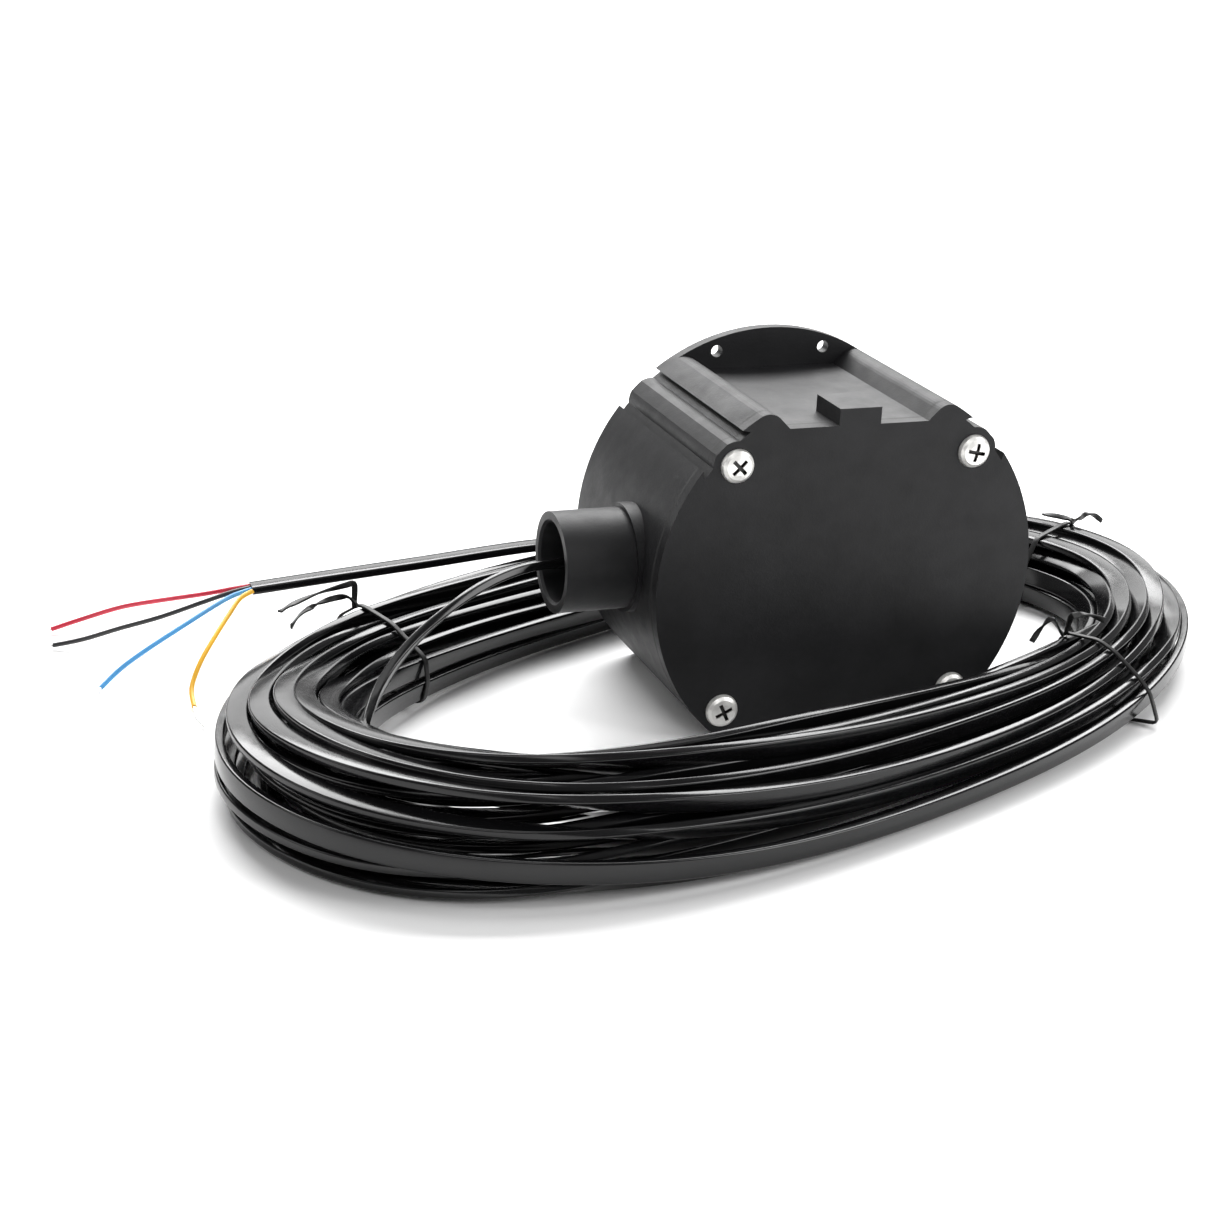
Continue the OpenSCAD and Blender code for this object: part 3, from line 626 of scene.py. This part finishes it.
def make_cable():
    """The whole flat cable, from the pipe socket through its coil to the end of its jacket."""
    angles, spot, tilt = lay_coil()
    across = coil_frame(angles)[1]
    lead, tail = curve_through(LEAD_ROUTE, ROUTE_STEPS), curve_through(TAIL_ROUTE, ROUTE_STEPS)
    path = np.vstack([lead[:-1], in_space(angles, spot), tail[1:]])
    coil_wide = np.column_stack([across * np.sin(tilt)[:, None], np.cos(tilt)])
    wide = np.vstack([rolled(lead, LEAD_ROLLS)[:-1], coil_wide, rolled(tail, (0,))[1:]])
    # both ways along the width are the same to the cable, so it takes the one that needs no half turn
    for i in range(1, len(wide)):
        if wide[i] @ wide[i - 1] < 0:
            wide[i:] *= -1
    for _ in range(WIDE_ROUNDS):
        wide[1:-1] = wide[1:-1] * 0.5 + (wide[2:] + wide[:-2]) * 0.25
    for _ in range(PATH_ROUNDS):
        path[2:-2] = path[2:-2] * 0.6 + (path[3:-1] + path[1:-3]) * 0.2
    path, wide = curve_through(path, COIL_STEPS), curve_through(wide, COIL_STEPS)
    cable = tube_mesh("flat_cable", path, flat_section(CABLE_W, CABLE_T, CABLE_CORNER), wide)
    dress(cable, "cable_jacket")
    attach(cable, "root")
    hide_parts("cable_lead", "cable_coil", "cable_tail")
    return cable, path, (angles, spot, tilt)


# ---- Wire ties round the coil ----

# Each tie: its angle round the coil in degrees, how far it presses the pile down as a share of its half
# height, its knot's place across the width, how far its loop stands off at the outer foot, and its two ends,
# in millimetres. The press fades out over TIE_REACH to each side.
TIE_REACH = math.radians(24)
TIES = {
    "tie_left": dict(angle=122, squeeze=0.1, knot=0.62, slack=0, ends=(
        [(-106.5, 20.5, 26.8), (-109, 19.5, 27.6), (-113, 18.8, 27.2), (-118, 17.2, 26.4),
         (-122.5, 14.8, 25.8), (-126.5, 11.5, 25.4)],
        [(-108.5, 18.6, 25.2), (-112, 18.4, 24.9), (-117, 15.8, 24.6), (-121.5, 11.5, 24.3),
         (-125, 6, 23.6)])),
    "tie_right": dict(angle=300, squeeze=0.6, knot=-0.82, slack=3.2, ends=(
        [(59.5, -32, 24.2), (62, -31.5, 24.6), (65, -32, 24.2), (68, -33.5, 23.2)],
        [(55.5, -29.6, 23), (53.5, -28.4, 20.5), (50.8, -29.2, 17.5)])),
    "tie_rear": dict(angle=4, squeeze=0.1, knot=0.55, slack=0, ends=(
        [(107.5, 46, 20.6), (111, 48.5, 21), (114.5, 49.5, 20.2), (117, 49, 18.4)],
        [(104, 43, 21.2), (101.5, 46.5, 21.6), (99, 51, 21)])),
}
TIE_W, TIE_T = 1.5 * MM, 0.6 * MM

# In millimetres: the distance of a tie's middle line from the turns, and its lowest height above the floor
TIE_CLEAR, TIE_LOW = 0.5, 0.35

# Sides of the rim put round each corner of a turn, points in a tie's loop, and rounds that smooth the loop
RIM_SIDES, LOOP_POINTS, LOOP_ROUNDS = 12, 90, 2

# The knot's twist, how fast it opens at the loop and closes along an end, and how far an end rolls over
TWIST_TURNS, TWIST_R = 1.5, 0.5 * MM
TWIST_OPEN, TWIST_CLOSE = 6, 1.6
END_ROLL = 1.6 * math.pi
END_STEPS = 5


def hull(points):
    """The convex outline of points in a plane, counterclockwise."""
    points = sorted(map(tuple, points))

    def left_turn(a, b, c):
        return (b[0] - a[0]) * (c[1] - a[1]) - (b[1] - a[1]) * (c[0] - a[0]) > 0

    def half(run):
        kept = []
        for point in run:
            while len(kept) > 1 and not left_turn(kept[-2], kept[-1], point):
                kept.pop()
            kept.append(point)
        return kept[:-1]

    return np.array(half(points) + half(points[::-1]))


def tie_loop(angle, knot, slack, laid):
    """A tie's line round the turns of cable that cross its plane, from its knot round to its knot."""
    angles, spot, tilt = laid
    off = np.abs((angles - angle + math.pi) % (2 * math.pi) - math.pi)
    here = np.flatnonzero(off < math.pi / STATIONS)
    half_w, half_h = coil_frame(np.array([angle]))[2:]
    turn = np.linspace(0, 2 * math.pi, RIM_SIDES + 1)[:-1]
    rim = np.stack([np.cos(turn), np.sin(turn)], -1) * TIE_CLEAR
    corners = []
    for i in here:
        wide = np.array([math.sin(tilt[i]), math.cos(tilt[i])]) * STRIP_W / 2
        thin = np.array([wide[1], -wide[0]]) * STRIP_T / STRIP_W
        for sw in (-1, 1):
            for st in (-1, 1):
                corners.extend(spot[i] + sw * wide + st * thin + rim)
    if slack:
        corners.append((half_w[0] + slack, -half_h[0] + 0.5))
    outline = hull(corners)
    outline[:, 1] = np.maximum(outline[:, 1], TIE_LOW - COIL_BASE - half_h[0])
    outline = np.vstack([outline, outline[:1]])
    along = np.concatenate([[0], np.cumsum(np.linalg.norm(np.diff(outline, axis=0), axis=1))])
    even = np.linspace(0, along[-1], LOOP_POINTS)
    loop = np.column_stack([np.interp(even, along, outline[:, k]) for k in (0, 1)])[:-1]
    for _ in range(LOOP_ROUNDS):
        loop = loop * 0.5 + (np.roll(loop, 1, 0) + np.roll(loop, -1, 0)) * 0.25
    top = np.where(loop[:, 1] > 0, np.abs(loop[:, 0] - knot * half_w[0]), np.inf)
    loop = np.roll(loop, -int(np.argmin(top)), 0)
    return in_space(np.full(len(loop), angle), loop)


def make_tie(name, angle, knot, slack, ends, laid, **_):
    """A wire tie in one length: one end, the twist, the loop round the coil, the twist and the other end."""
    angle = math.radians(angle)
    loop = tie_loop(angle, knot, slack, laid)
    across = coil_frame(np.array([angle]))[1][0]
    run = np.array([-across[1], across[0], 0])
    up = np.array([0, 0, 1])
    first = curve_through(np.vstack([loop[-1:], metres(ends[0])]), END_STEPS)
    second = curve_through(np.vstack([loop[:1], metres(ends[1])]), END_STEPS)
    for path, phase in ((first, 0), (second, math.pi)):
        share = np.linspace(0, 1, len(path))[:, None]
        turn = phase + share * 2 * math.pi * TWIST_TURNS
        radius = TWIST_R * np.minimum(1, share * TWIST_OPEN) * np.maximum(0, 1 - share * TWIST_CLOSE)
        path += radius * (np.cos(turn) * run + np.sin(turn) * up)
    path = np.vstack([first[::-1], loop[::-1][1:-1], second])
    wide = np.tile(run, (len(path), 1))
    first_part, second_part = slice(0, len(first)), slice(len(path) - len(second), len(path))
    for part, way in ((first_part, -1), (second_part, 1)):
        turn = (np.linspace(0, 1, len(path[part])) * END_ROLL)[::way]
        ahead = unit(np.gradient(path[part], axis=0))
        level = unit(run - (ahead @ run)[:, None] * ahead)
        wide[part] = level * np.cos(turn)[:, None] + np.cross(ahead, level) * np.sin(turn)[:, None]
    path[:, 2] = np.maximum(path[:, 2], TIE_LOW * MM)
    tie = tube_mesh(name + "_wire", path, flat_section(TIE_W, TIE_T, TIE_CORNER), wide)
    dress(tie, "tie")
    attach(tie, "root")
    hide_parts(name)
    return tie


# ---- The four leads at the cable's free end ----

def make_core(colour):
    """One insulated lead at the cable's free end, and its bare tip."""
    route = CORE_ROUTES[colour]
    path = curve_through(route, ROUTE_STEPS)
    ring = round_section(LEAD_D, 12)
    core = tube_mesh("lead_" + colour + "_wire", path, ring, np.tile((0, 0, 1.0), (len(path), 1)))
    dress(core, "core_" + colour)
    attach(core, "root")
    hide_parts("lead_" + colour)
    bare = curve_through(np.vstack([route[-1:], TIP_ENDS[colour]]), ROUTE_STEPS)
    ring = round_section(TIP_D, 10)
    tip = tube_mesh("tip_" + colour + "_strands", bare, ring, np.tile((0, 0, 1.0), (len(bare), 1)))
    dress(tip, "tinned_copper")
    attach(tip, "root")
    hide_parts("tip_" + colour)


finish_cad_nodes()
make_camera()
make_stage()
cable, cable_path, laid_turns = make_cable()
ties = [make_tie(name, laid=laid_turns, **tie) for name, tie in TIES.items()]
for core_colour in CORE_ROUTES:
    make_core(core_colour)
